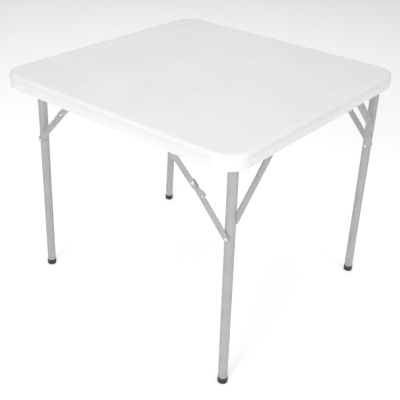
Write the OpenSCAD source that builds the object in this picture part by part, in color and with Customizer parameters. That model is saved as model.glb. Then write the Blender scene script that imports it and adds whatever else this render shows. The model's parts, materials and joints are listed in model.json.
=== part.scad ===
// Square folding table with a moulded top and two fold-away steel leg frames.
// The wide frame hinges along the -Y edge, the narrow one along the +Y edge and folds inside it.
// Origin: on the floor under the middle of the top, +Z up. The table stands set up, ready for use.

/* [Top] */
// Side of the square top
top_size = 860; // [820:2:1032]
// Height of the top surface above the floor
top_height = 740; // [650:2:900]
// Depth of the skirt around the top
skirt_depth = 43; // [42:0.5:60]
// Thickness of the skirt's wall
skirt_wall = 16; // [12:0.5:20]
// Thickness of the deck inside the skirt
deck_thickness = 17; // [12:0.5:20]
// Radius of the top's corners seen from above
corner_radius = 70; // [50:1:110]
// Rounding of the upper outer edge
edge_radius = 9; // [4:0.5:11]
// Rounding of the skirt's lower outer edge
lower_edge_radius = 3; // [1:0.5:4]

/* [Leg frames] */
// Outside diameter of the leg and crossbar tubes
tube_diameter = 28; // [22:0.5:34]
// Wall of the steel tubes
tube_wall = 1.2; // [0.8:0.1:2]
// Room between the skirt and a wide leg, for its brace
brace_room = 30; // [26:1:60]
// Room between a wide leg and a narrow leg that is folded beside it
nesting_room = 28; // [26:1:60]
// Gap between the deck and the wide frame's crossbar
wide_hinge_gap = 4; // [4:0.5:10]
// Gap between the deck and the narrow frame's crossbar
narrow_hinge_gap = 1.8; // [1.6:0.1:2]
// Outward lean of the wide frame's legs in degrees
wide_lean = 1; // [0:0.1:1.2]
// Outward lean of the narrow frame's legs in degrees
narrow_lean = 2.1; // [0:0.1:2.2]

/* [Struts and gussets] */
// Distance down the wide frame's leg where its strut meets it
strut_drop = 158; // [120:1:190]
// Width of a strut
strut_width = 27; // [18:1:30]
// Thickness of a strut or gusset
strut_thickness = 4; // [3:0.5:5]
// Distance down the narrow frame's leg where its gusset meets it
gusset_drop = 60; // [50:1:70]
// Width of a gusset
gusset_width = 20; // [14:1:22]

/* [Folding braces] */
// Distance down a leg from the hinge line to the brace pivot
leg_pivot_drop = 212; // [180:1:255]
// Length of a lower link between its pivots
lower_link_length = 165; // [140:1:190]
// Bend of the brace past straight when it is locked, in degrees
over_centre = 8; // [5:0.5:9]
// Depth of a brace's top pivot below the deck
top_pivot_drop = 13.5; // [12.5:0.5:15]
// Width of a link
link_width = 20; // [16:1:22]
// Thickness of a link
link_thickness = 2.5; // [2:0.1:2.5]
// Turn of an upper link's blade from the line of its pivots, in degrees
blade_turn = 3.3; // [0:0.1:4]
// Distance of the lock hole from the middle pivot
lock_hole_distance = 43; // [32:1:60]
// Diameter of the rivets' shanks
rivet_diameter = 6; // [4:0.5:7]

/* [Feet and fasteners] */
// Wall of a foot cap round its leg
foot_wall = 1; // [0.5:0.1:1.2]
// Height of a foot cap
foot_height = 20; // [12:1:30]
// Diameter of the screws' shanks
screw_diameter = 4; // [3:0.5:5]
// Length of a screw below its head
screw_length = 12; // [8:0.5:14]

/* [Hidden] */

$fn = 64;
eps = 0.01;
round_proud = 0.05;
big = 3000;

// Running clearances: radial in a pivot, and sideways between parts that pass each other
pivot_clearance = 0.05;
side_clearance = 0.3;

// Heights that everything hangs from
skirt_bottom = top_height - skirt_depth;
deck_underside = top_height - deck_thickness;

tube_radius = tube_diameter / 2;
rivet_radius = rivet_diameter / 2;
screw_radius = screw_diameter / 2;
foot_radius = tube_radius + foot_wall;
link_radius = link_width / 2;

// A foot cap's floor under the tube's end
foot_sole = 4;
// The strut's inner face bites this far into the round of the tubes
strut_bite = 0.4;
// The strut stops short of the leg's middle line and runs past the crossbar's
strut_leg_gap = 5;
strut_top_rise = 5;

// Layers of a brace, measured outwards from the side of the leg tube
lower_link_in = 0.8;
lower_link_out = lower_link_in + link_thickness;
link_gap = 2.2;
upper_link_in = lower_link_out + link_gap;
upper_link_out = upper_link_in + link_thickness;
bracket_in = upper_link_out + 0.8;
bracket_thickness = 2;
bracket_out = bracket_in + bracket_thickness;

// Rivet heads
leg_rivet_head = 5;
leg_rivet_head_height = link_gap - 2 * side_clearance;
leg_rivet_tail_height = 1.5;
joint_head = 5.5;
joint_head_height = 1.6;
bracket_tail = 4.2;
bracket_head = 5.5;

// Hinge bosses moulded under the deck, and the straps screwed to them
boss_width = 24;
strap_thickness = 2;
strap_flange = 11;
screw_place = tube_radius + (strap_flange + strap_thickness) / 2;
strap_reach = tube_radius + strap_flange;
strap_wall_gap = 1;
wide_boss_inset = tube_radius + 24;
narrow_boss_inset = gusset_drop + gusset_width + 30;
screw_head_radius = 3.5;
screw_head_height = 2;

// Brace brackets
bracket_plate_radius = 12;
bracket_flange_width = 14;
bracket_flange_length = 42;
bracket_screw_reach = 14;

// Upper link: rounded tail past the middle pivot, and a kink near its top pivot
tail_length = 7;
kink_length = 38;

// Stop lip of a brace bracket along the upper link, measured from the top pivot
lip_start = 8;
lip_end = 22;
tab_thickness = 2;

// Thumb tab on a lower link, measured from the middle pivot towards the leg
thumb_start = 20;
thumb_end = 48;
thumb_depth = 6.5;
thumb_corner = 3;
thumb_edge = link_radius + 0.5;
lock_hole_radius = 3;

plug_depth = 10;
plug_flange = 1.5;
washer_radius = 6.5;

// Hinge lines and leg spacings, from the skirt inwards
hinge_offset = top_size / 2 - skirt_wall - strap_wall_gap - strap_reach;
wide_half_spacing = top_size / 2 - skirt_wall - brace_room - tube_radius;
narrow_half_spacing = wide_half_spacing - 2 * tube_radius - nesting_room;
wide_hinge_drop = tube_radius + wide_hinge_gap;
narrow_hinge_drop = tube_radius + narrow_hinge_gap;

/* The two leg frames as [half spacing, lean, hinge drop, boss inset, strut drop, strut width, mirrored] */
wide = [wide_half_spacing, wide_lean, wide_hinge_drop, wide_boss_inset, strut_drop, strut_width, false];
narrow = [
  narrow_half_spacing, narrow_lean, narrow_hinge_drop, narrow_boss_inset, gusset_drop, gusset_width, true
];

function half_spacing(f) = f[0];
function lean(f) = f[1];
function hinge_height(f) = deck_underside - f[2];
function boss_place(f) = f[0] - f[3];

// Brace geometry in the plane of the brace: first number inwards from the hinge line, second upwards.
// With the leg folded flat, both links lie along it; that fixes the upper link and the top pivot.
function top_pivot_rise(f) = f[2] - top_pivot_drop;
function leg_pivot(f) = [-leg_pivot_drop * sin(lean(f)), -leg_pivot_drop * cos(lean(f))];
function reach(f) = leg_pivot_drop + lower_link_length - leg_pivot(f)[0];
function pull(f) = 2 * lower_link_length * cos(over_centre);
function balance(f) = pow(reach(f), 2) + pow(leg_pivot(f)[1], 2)
  - 2 * top_pivot_rise(f) * leg_pivot(f)[1] - pow(lower_link_length, 2);
function square_term(f) = 4 * pow(reach(f), 2) - pow(pull(f), 2);
function linear_term(f) = 4 * reach(f) * balance(f);
function free_term(f) = pow(balance(f), 2) - pow(pull(f) * top_pivot_rise(f), 2);
function upper_span(f) = (linear_term(f) - sqrt(pow(linear_term(f), 2) - 4 * square_term(f) * free_term(f)))
  / (2 * square_term(f));
function upper_link_length(f) = norm([upper_span(f), top_pivot_rise(f)]);
function top_pivot(f) = [leg_pivot_drop + lower_link_length - upper_span(f), top_pivot_rise(f)];
function brace_span(f) = norm(top_pivot(f) - leg_pivot(f));
function angle_of(p) = atan2(p[1], p[0]);
function lower_link_angle(f) = angle_of(top_pivot(f) - leg_pivot(f))
  + asin(upper_link_length(f) * sin(over_centre) / brace_span(f));
function joint_pivot(f) =
  leg_pivot(f) + lower_link_length * [cos(lower_link_angle(f)), sin(lower_link_angle(f))];
function upper_link_angle(f) = angle_of(top_pivot(f) - joint_pivot(f));

// Places a frame's parts: drawn for the hinge on the -Y side, and mirrored for the narrow frame
module at_hinge(f) {
  mirror([0, f[6] ? 1 : 0, 0])
    translate([0, -hinge_offset, hinge_height(f)])
      children();
}

// Turns a frame's parts out by its lean; inside, the legs hang straight down
module leaning(f) {
  at_hinge(f) rotate([-lean(f), 0, 0]) children();
}

// Draws the part on the left, or mirrors it to the right
module on_side(right) {
  mirror([right ? 1 : 0, 0, 0]) children();
}

// Lays a flat drawing made in (inwards, upwards) against the left side, from one layer to another,
// measured outwards from the side of the leg tube
module layer(f, from, to) {
  translate([-(half_spacing(f) + tube_radius + to), 0, 0])
    rotate([90, 0, 90])
      linear_extrude(height = to - from)
        children();
}

// A pin along X through a point of the brace plane, between two layers
module layer_pin(f, point, from, to, r_from, r_to) {
  translate([-(half_spacing(f) + tube_radius + from), point[0], point[1]])
    rotate([0, -90, 0])
      cylinder(r1 = r_from, r2 = r_to, h = to - from);
}

module disc(point, r) {
  translate(point) circle(r = r);
}

// A straight bar from one point to another, with a round end at the second that stands a hair proud
module bar(a, b, r) {
  half_width = r - round_proud;
  translate(a)
    rotate(angle_of(b - a))
      translate([0, -half_width])
        square([norm(b - a), 2 * half_width]);
  disc(b, r);
}

// ---- Top ----

// Half of the top's cross-section at the edge: deck, skirt and rounded edges, from the corner's centre out
module edge_profile() {
  difference() {
    union() {
      translate([0, deck_underside]) square([corner_radius, deck_thickness]);
      translate([corner_radius - skirt_wall, skirt_bottom]) square([skirt_wall, skirt_depth]);
    }
    translate([corner_radius - edge_radius, top_height - edge_radius])
      difference() {
        square([edge_radius + 1, edge_radius + 1]);
        circle(r = edge_radius);
      }
    translate([corner_radius - lower_edge_radius, skirt_bottom + lower_edge_radius])
      difference() {
        translate([0, -lower_edge_radius - 1]) square([lower_edge_radius + 1, lower_edge_radius + 1]);
        circle(r = lower_edge_radius);
      }
  }
}

module tabletop_blank() {
  inner = top_size / 2 - corner_radius;
  translate([-inner, -inner, deck_underside]) cube([2 * inner, 2 * inner, deck_thickness]);
  for (turn = [0:3]) {
    rotate([0, 0, 90 * turn]) {
      translate([inner, inner, 0]) rotate_extrude(angle = 90) edge_profile();
      translate([inner, inner, 0]) rotate([90, 0, 0]) linear_extrude(height = 2 * inner) edge_profile();
    }
  }
}

// A block under the deck that the crossbar turns in
module hinge_boss(f) {
  translate([-boss_place(f) - boss_width / 2, -strap_reach, 0])
    cube([boss_width, 2 * strap_reach, f[2] + eps]);
}

module crossbar_bore(f) {
  rotate([0, 90, 0])
    cylinder(r = tube_radius + pivot_clearance, h = big, center = true);
}

module strap_screw_places(f) {
  for (way = [-1, 1])
    translate([-boss_place(f), way * screw_place, 0])
      children();
}

module bracket_screw_places(f) {
  flange_middle = half_spacing(f) + tube_radius + bracket_in + bracket_flange_width / 2
    + bracket_thickness / 2;
  for (way = [-1, 1])
    translate([-flange_middle, top_pivot(f)[0] + way * bracket_screw_reach, f[2]])
      children();
}

module each_side() {
  for (right = [false, true]) on_side(right) children();
}

module tabletop() {
  color("white")
    difference() {
      union() {
        tabletop_blank();
        for (f = [wide, narrow]) each_side() at_hinge(f) hinge_boss(f);
      }
      for (f = [wide, narrow]) {
        each_side() at_hinge(f) {
          intersection() {
            crossbar_bore(f);
            translate([-boss_place(f) - boss_width, -big / 2, -eps]) cube([2 * boss_width, big, f[2] - 1]);
          }
          strap_screw_places(f)
            translate([0, 0, -eps]) cylinder(r = screw_radius, h = screw_length - strap_thickness);
          bracket_screw_places(f)
            translate([0, 0, -eps]) cylinder(r = screw_radius, h = screw_length - bracket_thickness);
        }
      }
    }
}

// ---- Hinges ----

module hinge_strap(f) {
  at_hinge(f)
    translate([-boss_place(f) - boss_width / 2, 0, 0])
      difference() {
        union() {
          rotate([0, 90, 0]) cylinder(r = tube_radius + pivot_clearance + strap_thickness, h = boss_width);
          translate([0, -strap_reach, -strap_thickness]) cube([boss_width, 2 * strap_reach, strap_thickness]);
        }
        translate([-1, -big / 2, 0]) cube([boss_width + 2, big, big]);
        translate([-1, 0, 0]) rotate([0, 90, 0])
          cylinder(r = tube_radius + pivot_clearance, h = boss_width + 2);
        for (way = [-1, 1])
          translate([boss_width / 2, way * screw_place, -big / 2])
            cylinder(r = screw_radius, h = big);
      }
}

module strap_screw(f) {
  at_hinge(f)
    strap_screw_places(f) {
      translate([0, 0, -strap_thickness]) cylinder(r = screw_radius, h = screw_length - eps);
      translate([0, 0, -strap_thickness - screw_head_height])
        cylinder(r1 = screw_head_radius - 1, r2 = screw_head_radius, h = screw_head_height);
    }
}

// ---- Leg frames ----

module crossbar_length_along(r, half_length) {
  rotate([0, 90, 0]) cylinder(r = r, h = 2 * half_length, center = true);
}

module crossbar(f) {
  half_length = half_spacing(f) + tube_radius;
  color("lightgray")
    leaning(f)
      difference() {
        crossbar_length_along(tube_radius, half_length);
        crossbar_length_along(tube_radius - tube_wall, half_length + 1);
      }
}

module crossbar_plug(f) {
  inner = tube_radius - tube_wall;
  translate([-half_spacing(f) - tube_radius, 0, 0]) rotate([0, 90, 0]) {
    cylinder(r = inner, h = plug_depth);
    translate([0, 0, -plug_flange]) cylinder(r1 = tube_radius - 1, r2 = tube_radius, h = plug_flange);
  }
}

// Leg tube, coped onto the crossbar at its top
module leg(f) {
  tube_length = hinge_height(f) / cos(lean(f)) - foot_sole;
  color("lightgray")
    leaning(f)
      difference() {
        translate([-half_spacing(f), 0, -tube_length]) cylinder(r = tube_radius, h = tube_length);
        translate([-half_spacing(f), 0, -tube_length - 1])
          cylinder(r = tube_radius - tube_wall, h = tube_length + 2);
        crossbar_length_along(tube_radius, half_spacing(f) + 2 * tube_radius);
        translate([-half_spacing(f), 0, -leg_pivot_drop])
          rotate([0, 90, 0])
            cylinder(r = rivet_radius, h = 3 * tube_radius, center = true);
      }
}

// Flat strap at 45 degrees on the outer face of a frame, coped onto the leg and the crossbar
module strut(f) {
  half_height = f[5] / sqrt(2);
  corner = half_spacing(f) - f[4];
  leg_end = half_spacing(f) - strut_leg_gap;
  inner_face = tube_radius - strut_bite;
  color("silver")
    leaning(f)
      difference() {
        translate([0, -inner_face, 0])
          rotate([90, 0, 0])
            linear_extrude(height = strut_thickness)
              polygon([
                [-leg_end, corner - leg_end - half_height],
                [-leg_end, corner - leg_end + half_height],
                [strut_top_rise - corner - half_height, strut_top_rise],
                [strut_top_rise - corner + half_height, strut_top_rise]
              ]);
        crossbar_length_along(tube_radius, half_spacing(f));
        translate([-half_spacing(f), 0, -big / 2]) cylinder(r = tube_radius, h = big);
      }
}

// Cap over the end of a leg, with its sole cut level with the floor
module foot(f) {
  leg_length = hinge_height(f) / cos(lean(f));
  color("dimgray")
    difference() {
      leaning(f)
        translate([-half_spacing(f), 0, -leg_length])
          difference() {
            translate([0, 0, -2]) cylinder(r = foot_radius, h = foot_height + 2);
            translate([0, 0, foot_sole]) cylinder(r = tube_radius, h = foot_height);
          }
      translate([-big / 2, -big / 2, -big]) cube([big, big, big]);
    }
}

// ---- Folding braces ----

module leg_rivet(f) {
  at_hinge(f) {
    layer_pin(f, leg_pivot(f), -2 * tube_radius, lower_link_out + 0.1, rivet_radius, rivet_radius);
    layer_pin(f, leg_pivot(f), lower_link_out + 0.1, lower_link_out + 0.1 + leg_rivet_head_height,
      leg_rivet_head, leg_rivet_head - 1.2);
    layer_pin(f, leg_pivot(f), -2 * tube_radius - leg_rivet_tail_height, -2 * tube_radius,
      leg_rivet_head - 1.2, leg_rivet_head);
  }
}

// Washer shaped to the round of the leg
module leg_washer(f) {
  difference() {
    at_hinge(f) layer_pin(f, leg_pivot(f), -2, lower_link_in - 0.1, washer_radius, washer_radius);
    at_hinge(f) layer_pin(f, leg_pivot(f), -3, lower_link_in, rivet_radius, rivet_radius);
    leaning(f) translate([-half_spacing(f), 0, -big / 2]) cylinder(r = tube_radius, h = big);
  }
}

// Draws in the lower link's own directions: first number from the middle pivot towards the leg,
// second towards the corner of the table
module from_joint(f) {
  translate(joint_pivot(f)) rotate(180 + lower_link_angle(f)) mirror([0, 1]) children();
}

module lower_link(f) {
  color("silver")
    at_hinge(f)
      difference() {
        union() {
          layer(f, lower_link_in, lower_link_out) {
            disc(leg_pivot(f), link_radius);
            bar(leg_pivot(f), joint_pivot(f), link_radius);
            from_joint(f) translate([thumb_start, 0]) square([thumb_end - thumb_start, thumb_edge + tab_thickness]);
          }
          thumb_tab(f);
        }
        layer_pin(
          f, leg_pivot(f), -1, bracket_in, rivet_radius + pivot_clearance, rivet_radius + pivot_clearance
        );
        layer_pin(f, joint_pivot(f), -1, bracket_in, rivet_radius, rivet_radius);
        layer(f, -1, upper_link_in) from_joint(f) translate([lock_hole_distance, 0]) circle(r = lock_hole_radius);
      }
}

// Tab folded in towards the leg, to press the brace open with a thumb
module thumb_tab(f) {
  start = thumb_start + thumb_corner;
  end = thumb_end - thumb_corner;
  depth_in = lower_link_out - thumb_depth;
  for (strip = [
    [thumb_start, thumb_end, depth_in + thumb_corner, lower_link_out],
    [start, end, depth_in, lower_link_out]
  ])
    layer(f, strip[2], strip[3])
      from_joint(f)
        translate([strip[0], thumb_edge])
          square([strip[1] - strip[0], tab_thickness]);
  for (s = [start, end]) thumb_round(f, s, depth_in + thumb_corner);
}

// Rounded corner of the thumb tab: a short pin across it
module thumb_round(f, s, depth) {
  middle = joint_pivot(f);
  a = 180 + lower_link_angle(f);
  along = [cos(a), sin(a)];
  out = [cos(a - 90), sin(a - 90)];
  place = middle + s * along + thumb_edge * out;
  translate([-(half_spacing(f) + tube_radius + depth), place[0], place[1]])
    rotate([a, 0, 0])
      rotate([90, 0, 0])
        cylinder(r = thumb_corner, h = tab_thickness);
}

function blade_direction(f) =
  [cos(upper_link_angle(f) + blade_turn), sin(upper_link_angle(f) + blade_turn)];
function kink(f) = joint_pivot(f) + (upper_link_length(f) - kink_length) * blade_direction(f);

module upper_link(f) {
  tail = joint_pivot(f) - tail_length * blade_direction(f);
  color("silver")
    at_hinge(f)
      layer(f, upper_link_in, upper_link_out)
        difference() {
          union() {
            disc(tail, link_radius);
            bar(tail, kink(f), link_radius);
            bar(kink(f), top_pivot(f), link_radius);
          }
          disc(top_pivot(f), rivet_radius + pivot_clearance);
          disc(joint_pivot(f), rivet_radius);
        }
}

// Outer half of the middle rivet, in the upper link
module joint_rivet(f) {
  at_hinge(f) {
    layer_pin(f, joint_pivot(f), upper_link_in, upper_link_out, rivet_radius, rivet_radius);
    layer_pin(
      f, joint_pivot(f), upper_link_out, upper_link_out + joint_head_height, joint_head, joint_head - 1.4
    );
  }
}

// Inner half of the middle rivet with its spacer, in the lower link
module joint_stud(f) {
  thin_head = lower_link_in - side_clearance;
  at_hinge(f) {
    layer_pin(f, joint_pivot(f), thin_head, lower_link_in, joint_head, joint_head);
    layer_pin(f, joint_pivot(f), lower_link_in, lower_link_out, rivet_radius, rivet_radius);
    layer_pin(f, joint_pivot(f), lower_link_out, upper_link_in - side_clearance, joint_head, joint_head);
  }
}

// Lip that the upper link rests against when the brace is locked, or the plate that carries it
module stop_lip(f, from) {
  face = link_radius + side_clearance;
  translate(top_pivot(f))
    rotate(angle_of(kink(f) - top_pivot(f)))
      translate([lip_start, -face - tab_thickness])
        square([lip_end - lip_start, face + tab_thickness - from]);
}

// Angle bracket under the deck that holds the top pivot, outside the upper link
module brace_bracket(f) {
  place = top_pivot(f);
  rise = f[2] - place[1];
  color("lightgray")
    at_hinge(f)
      difference() {
        union() {
          layer(f, bracket_in, bracket_out) {
            disc(place, bracket_plate_radius);
            translate([place[0] - bracket_plate_radius, place[1]]) square([2 * bracket_plate_radius, rise]);
            stop_lip(f, 0);
          }
          layer(f, upper_link_in, bracket_out) stop_lip(f, link_radius + side_clearance);
          layer(f, bracket_in, bracket_in + bracket_flange_width)
            translate([place[0] - bracket_flange_length / 2, f[2] - bracket_thickness])
              square([bracket_flange_length, bracket_thickness]);
        }
        layer_pin(f, place, 0, bracket_out + 1, rivet_radius, rivet_radius);
        bracket_screw_places(f) translate([0, 0, -big / 2]) cylinder(r = screw_radius, h = big);
      }
}

module bracket_rivet(f) {
  tail_start = upper_link_in - 1.5;
  tail_end = upper_link_in - 0.2;
  at_hinge(f) {
    layer_pin(f, top_pivot(f), tail_start, tail_end, bracket_tail - 0.6, bracket_tail);
    layer_pin(f, top_pivot(f), tail_end, bracket_out, rivet_radius, rivet_radius);
    layer_pin(
      f, top_pivot(f), bracket_out, bracket_out + joint_head_height, bracket_head, bracket_head - 1.4
    );
  }
}

module bracket_screw(f) {
  at_hinge(f)
    bracket_screw_places(f) {
      translate([0, 0, -bracket_thickness]) cylinder(r = screw_radius, h = screw_length - eps);
      translate([0, 0, -bracket_thickness - screw_head_height])
        cylinder(r1 = screw_head_radius - 1, r2 = screw_head_radius, h = screw_head_height);
    }
}

// ---- The table ----

tabletop();
crossbar(wide);  // wide_crossbar
crossbar(narrow);  // narrow_crossbar
leg(wide);  // wide_leg_left
on_side(true) leg(wide);  // wide_leg_right
leg(narrow);  // narrow_leg_left
on_side(true) leg(narrow);  // narrow_leg_right
strut(wide);  // wide_strut_left
on_side(true) strut(wide);  // wide_strut_right
strut(narrow);  // narrow_gusset_left
on_side(true) strut(narrow);  // narrow_gusset_right
foot(wide);  // wide_foot_left
on_side(true) foot(wide);  // wide_foot_right
foot(narrow);  // narrow_foot_left
on_side(true) foot(narrow);  // narrow_foot_right
color("dimgray") leaning(wide) each_side() crossbar_plug(wide);  // wide_crossbar_plugs
color("dimgray") leaning(narrow) each_side() crossbar_plug(narrow);  // narrow_crossbar_plugs
color("lightgray") hinge_strap(wide);  // wide_hinge_strap_left
color("lightgray") on_side(true) hinge_strap(wide);  // wide_hinge_strap_right
color("lightgray") hinge_strap(narrow);  // narrow_hinge_strap_left
color("lightgray") on_side(true) hinge_strap(narrow);  // narrow_hinge_strap_right
lower_link(wide);  // wide_lower_link_left
on_side(true) lower_link(wide);  // wide_lower_link_right
lower_link(narrow);  // narrow_lower_link_left
on_side(true) lower_link(narrow);  // narrow_lower_link_right
upper_link(wide);  // wide_upper_link_left
on_side(true) upper_link(wide);  // wide_upper_link_right
upper_link(narrow);  // narrow_upper_link_left
on_side(true) upper_link(narrow);  // narrow_upper_link_right
brace_bracket(wide);  // wide_brace_bracket_left
on_side(true) brace_bracket(wide);  // wide_brace_bracket_right
brace_bracket(narrow);  // narrow_brace_bracket_left
on_side(true) brace_bracket(narrow);  // narrow_brace_bracket_right
color("gainsboro") each_side() leg_rivet(wide);  // wide_leg_rivets
color("gainsboro") each_side() leg_rivet(narrow);  // narrow_leg_rivets
color("gainsboro") each_side() leg_washer(wide);  // wide_leg_washers
color("gainsboro") each_side() leg_washer(narrow);  // narrow_leg_washers
color("gainsboro") joint_stud(wide);  // wide_joint_stud_left
color("gainsboro") on_side(true) joint_stud(wide);  // wide_joint_stud_right
color("gainsboro") joint_stud(narrow);  // narrow_joint_stud_left
color("gainsboro") on_side(true) joint_stud(narrow);  // narrow_joint_stud_right
color("gainsboro") joint_rivet(wide);  // wide_joint_rivet_left
color("gainsboro") on_side(true) joint_rivet(wide);  // wide_joint_rivet_right
color("gainsboro") joint_rivet(narrow);  // narrow_joint_rivet_left
color("gainsboro") on_side(true) joint_rivet(narrow);  // narrow_joint_rivet_right
color("gainsboro") for (f = [wide, narrow]) each_side() bracket_rivet(f);  // bracket_rivets
color("gainsboro") for (f = [wide, narrow]) each_side() strap_screw(f);  // strap_screws
color("gainsboro") for (f = [wide, narrow]) each_side() bracket_screw(f);  // bracket_screws
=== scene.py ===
import json
import math

import bmesh
import bpy
import numpy as np
from mathutils import Matrix, Vector
from mathutils.geometry import delaunay_2d_cdt


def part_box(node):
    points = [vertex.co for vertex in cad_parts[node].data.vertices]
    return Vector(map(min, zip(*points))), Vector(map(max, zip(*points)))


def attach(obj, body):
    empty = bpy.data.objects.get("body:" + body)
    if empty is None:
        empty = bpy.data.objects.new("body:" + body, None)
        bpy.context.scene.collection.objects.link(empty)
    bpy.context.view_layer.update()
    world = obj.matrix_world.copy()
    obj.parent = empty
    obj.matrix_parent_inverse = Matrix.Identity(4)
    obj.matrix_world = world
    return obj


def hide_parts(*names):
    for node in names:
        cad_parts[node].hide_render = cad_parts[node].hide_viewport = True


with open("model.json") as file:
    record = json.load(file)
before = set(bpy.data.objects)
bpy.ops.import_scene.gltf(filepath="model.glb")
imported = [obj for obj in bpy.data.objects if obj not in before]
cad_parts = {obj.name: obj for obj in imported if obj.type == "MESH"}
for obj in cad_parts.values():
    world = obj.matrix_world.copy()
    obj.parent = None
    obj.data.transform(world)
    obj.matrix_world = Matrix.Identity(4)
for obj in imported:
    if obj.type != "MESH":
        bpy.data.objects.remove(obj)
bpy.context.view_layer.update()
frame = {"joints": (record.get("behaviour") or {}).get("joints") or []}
joints = {joint["name"]: joint for joint in frame["joints"]}
print("frame loaded")


# ---- finishes


class Wire:
    # a node's output that adds, subtracts and multiplies like a number
    def __init__(self, finish, socket):
        self.finish, self.socket = finish, socket

    def maths(self, operation, *values):
        return self.finish.add("ShaderNodeMath", {"operation": operation}, dict(enumerate(values)))

    def __add__(self, other):
        return self.maths("ADD", self, other)

    __radd__ = __add__

    def __mul__(self, other):
        return self.maths("MULTIPLY", self, other)

    __rmul__ = __mul__

    def __sub__(self, other):
        return self.maths("SUBTRACT", self, other)

    def __rsub__(self, other):
        return self.maths("SUBTRACT", other, self)

    def ramp(self, low, high):
        # 0 below low, 1 above high, straight between
        settings = {"interpolation_type": "SMOOTHSTEP"}
        limits = {"Value": self, "From Min": low, "From Max": high}
        return self.finish.add("ShaderNodeMapRange", settings, limits)


class Finish:
    # a material with a Principled shader; add() makes any node and returns its output
    def __init__(self, name, **fixed):
        self.material = bpy.data.materials.new(name)
        self.material.use_nodes = True
        self.tree = self.material.node_tree
        self.shader = self.tree.nodes["Principled BSDF"]
        for key, value in fixed.items():
            self.shader.inputs[key.replace("_", " ")].default_value = value
        self.place = self.add("ShaderNodeTexCoord", output="Object")

    def add(self, kind, settings=None, inputs=None, output=0):
        node = self.tree.nodes.new(kind)
        for key, value in (settings or {}).items():
            setattr(node, key, value)
        for key, value in (inputs or {}).items():
            if isinstance(value, Wire):
                self.tree.links.new(value.socket, node.inputs[key])
            else:
                node.inputs[key].default_value = value
        return Wire(self, node.outputs[output])

    def noise(self, scale, detail=2.0, roughness=0.5, stretch=None):
        place = self.place
        if stretch:
            place = self.add("ShaderNodeMapping", None, {"Vector": place, "Scale": stretch})
        values = {"Vector": place, "Scale": scale, "Detail": detail, "Roughness": roughness}
        return self.add("ShaderNodeTexNoise", None, values)

    def cells(self, scale, feature="SMOOTH_F1"):
        return self.add("ShaderNodeTexVoronoi", {"feature": feature}, {"Vector": self.place, "Scale": scale})

    def colours(self, factor, first, second):
        inputs = {0: factor, 6: first, 7: second}
        return self.add("ShaderNodeMix", {"data_type": "RGBA"}, inputs, output=2)

    def bump(self, height, distance, strength=1.0, under=None):
        inputs = {"Height": height, "Distance": distance, "Strength": strength}
        if under:
            inputs["Normal"] = under
        return self.add("ShaderNodeBump", None, inputs)

    def edges(self, low=0.52, high=0.6):
        # 1 on edges that stick out, 0 on flat faces
        return self.add("ShaderNodeNewGeometry", output="Pointiness").ramp(low, high)

    def use(self, **links):
        for key, wire in links.items():
            self.tree.links.new(wire.socket, self.shader.inputs[key.replace("_", " ")])
        return self.material


def grey(level, warmth=0.0):
    return (level * (1 + warmth), level, level * (1 - warmth), 1)


def mouldedWhite():
    # blow-moulded polyethylene: a fine pebble grain, slow waviness and faint milky patches
    look = {"pale": grey(0.84, 0.003), "milky": grey(0.78, 0.006), "grain": 620.0, "grainDepth": 0.00006}
    f = Finish("moulded white", IOR=1.5)
    patches = f.noise(6.0, 3.0)
    dust = f.noise(90.0, 4.0, 0.65)
    cloudy = patches.ramp(0.35, 0.7) * 0.45 + dust.ramp(0.55, 0.75) * 0.12
    colour = f.colours(cloudy, look["pale"], look["milky"])
    pebble = f.cells(look["grain"])
    wave = f.bump(f.noise(9.0, 1.0), 0.0009, 0.18)
    grain = f.bump(pebble + f.noise(1500.0, 2.0) * 0.35, look["grainDepth"], 0.55, wave)
    return f.use(Base_Color=colour, Roughness=patches * 0.10 + pebble * 0.12 + 0.40, Normal=grain)


def powderCoat(name, level):
    # light grey powder coat: orange-peel skin, tiny speckle, paint rubbed paler on the edges
    f = Finish(name, IOR=1.48)
    peel = f.noise(900.0, 2.0, 0.45)
    speckle = f.noise(2600.0, 1.0)
    smudge = f.noise(26.0, 4.0, 0.6)
    rubbed = f.edges() * f.noise(240.0, 3.0).ramp(0.48, 0.62)
    body = f.colours(smudge.ramp(0.35, 0.75), grey(level, 0.004), grey(level * 0.9, 0.006))
    body = f.colours(speckle.ramp(0.60, 0.72) * 0.35, body, grey(level * 1.25))
    colour = f.colours(rubbed * 0.5, body, grey(min(level * 1.5, 0.8), 0.01))
    skin = f.bump(peel, 0.00012, 0.35)
    return f.use(
        Base_Color=colour,
        Roughness=smudge * 0.16 + peel * 0.06 + 0.30,
        Metallic=rubbed * 0.4 + 0.38,
        Normal=skin,
    )


def footRubber():
    # dark moulded rubber with scuffs near the floor and a satin bloom
    f = Finish("foot rubber", IOR=1.5)
    height = f.add("ShaderNodeSeparateXYZ", None, {"Vector": f.place}, output="Z")
    scuffs = f.noise(420.0, 4.0, 0.7).ramp(0.5, 0.68) * (1 - height.ramp(0.002, 0.012))
    bloom = f.noise(70.0, 3.0)
    colour = f.colours(bloom * 0.4, grey(0.022), grey(0.045, 0.01))
    colour = f.colours(scuffs * 0.6, colour, grey(0.14, 0.03))
    return f.use(
        Base_Color=colour,
        Roughness=bloom * 0.2 + scuffs * 0.2 + 0.42,
        Normal=f.bump(f.noise(1300.0, 2.0) + scuffs * 0.5, 0.00009, 0.5),
    )


def plugPlastic():
    f = Finish("plug plastic", IOR=1.5)
    grain = f.cells(900.0)
    cloud = f.noise(60.0, 2.0)
    return f.use(
        Base_Color=f.colours(cloud, grey(0.05), grey(0.085, 0.01)),
        Roughness=grain * 0.15 + 0.4,
        Normal=f.bump(grain, 0.00006, 0.5),
    )


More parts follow.
